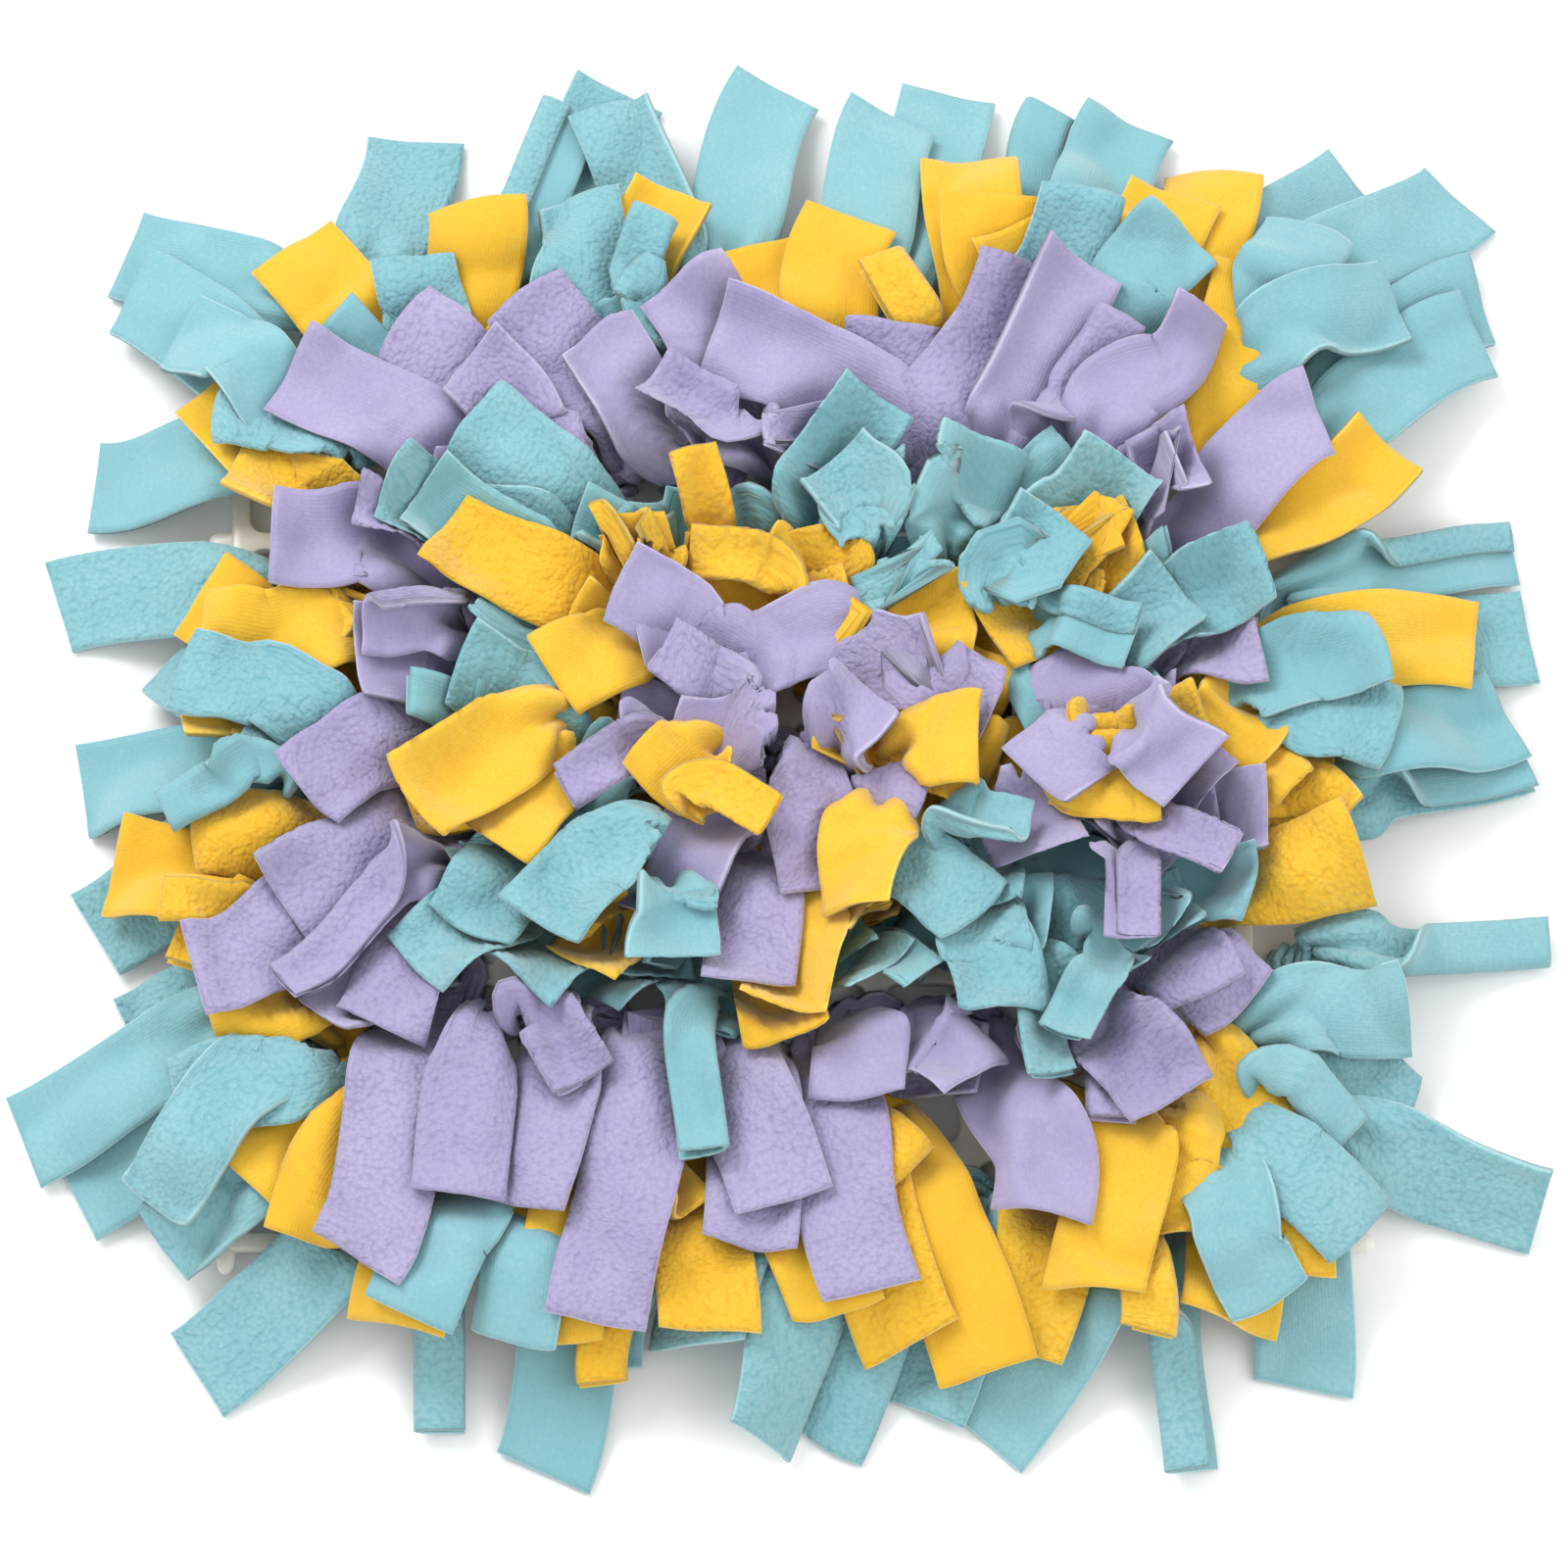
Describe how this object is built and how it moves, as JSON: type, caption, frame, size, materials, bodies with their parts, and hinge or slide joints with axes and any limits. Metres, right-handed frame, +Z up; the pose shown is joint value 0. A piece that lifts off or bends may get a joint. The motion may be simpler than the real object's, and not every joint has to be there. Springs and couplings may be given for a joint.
{
  "type": "snuffle mat",
  "caption": "Pet foraging mat: fleece strips in aqua, yellow and lavender rings, tied through the holes of a low moulded plastic grid so that their free ends fan out and overlap.",
  "frame": {"origin": "centre of the grid in plan, at the level of the undersides of its feet; the box's centre is within 2 mm of it", "axes": "+Z up out of the mat, +X to the right and +Y to the back as it is looked at from the front"},
  "size_m": [0.4713, 0.4513, 0.0548],
  "materials": {
    "milky_plastic": "semi-clear milky, smooth",
    "aqua_fleece": "polar fleece, one side pebbly, the other smooth",
    "yellow_fleece": "polar fleece, one side pebbly, the other smooth",
    "lavender_fleece": "polar fleece, one side pebbly, the other smooth"
  },
  "bodies": {
    "root": {"grid_base": "milky_plastic", "ring1_aqua_strip_01": "aqua_fleece", "ring1_aqua_strip_02": "aqua_fleece", "ring1_aqua_strip_03": "aqua_fleece", "ring1_aqua_strip_04": "aqua_fleece", "ring1_aqua_strip_06": "aqua_fleece", "ring1_aqua_strip_07": "aqua_fleece", "ring1_aqua_strip_08": "aqua_fleece", "ring1_aqua_strip_09": "aqua_fleece", "ring1_aqua_strip_10": "aqua_fleece", "ring1_aqua_strip_11": "aqua_fleece", "ring1_aqua_strip_12": "aqua_fleece", "ring1_aqua_strip_13": "aqua_fleece", "ring1_aqua_strip_14": "aqua_fleece", "ring1_aqua_strip_15": "aqua_fleece", "ring1_aqua_strip_16": "aqua_fleece", "ring1_aqua_strip_18": "aqua_fleece", "ring1_aqua_strip_19": "aqua_fleece", "ring1_aqua_strip_20": "aqua_fleece", "ring1_aqua_strip_21": "aqua_fleece", "ring2_yellow_strip_01": "yellow_fleece", "ring2_yellow_strip_02": "yellow_fleece", "ring2_yellow_strip_04": "yellow_fleece", "ring2_yellow_strip_05": "yellow_fleece", "ring2_yellow_strip_06": "yellow_fleece", "ring2_yellow_strip_07": "yellow_fleece", "ring2_yellow_strip_08": "yellow_fleece", "ring2_yellow_strip_09": "yellow_fleece", "ring2_yellow_strip_10": "yellow_fleece", "ring2_yellow_strip_11": "yellow_fleece", "ring2_yellow_strip_12": "yellow_fleece", "ring2_yellow_strip_14": "yellow_fleece", "ring2_yellow_strip_15": "yellow_fleece", "ring2_yellow_strip_16": "yellow_fleece", "ring2_yellow_strip_17": "yellow_fleece", "ring3_lavender_strip_01": "lavender_fleece", "ring3_lavender_strip_03": "lavender_fleece", "ring3_lavender_strip_04": "lavender_fleece", "ring3_lavender_strip_05": "lavender_fleece", "ring3_lavender_strip_06": "lavender_fleece", "ring3_lavender_strip_07": "lavender_fleece", "ring3_lavender_strip_08": "lavender_fleece", "ring3_lavender_strip_09": "lavender_fleece", "ring3_lavender_strip_10": "lavender_fleece", "ring3_lavender_strip_11": "lavender_fleece", "ring3_lavender_strip_12": "lavender_fleece", "ring3_lavender_strip_13": "lavender_fleece", "ring4_aqua_strip_02": "aqua_fleece", "ring4_aqua_strip_03": "aqua_fleece", "ring4_aqua_strip_04": "aqua_fleece", "ring4_aqua_strip_05": "aqua_fleece", "ring4_aqua_strip_06": "aqua_fleece", "ring4_aqua_strip_07": "aqua_fleece", "ring4_aqua_strip_09": "aqua_fleece", "ring5_yellow_strip_01": "yellow_fleece", "ring5_yellow_strip_02": "yellow_fleece", "ring5_yellow_strip_03": "yellow_fleece", "ring5_yellow_strip_04": "yellow_fleece", "ring5_yellow_strip_05": "yellow_fleece", "ring6_lavender_strip_01": "lavender_fleece"}
  },
  "joints": []
}
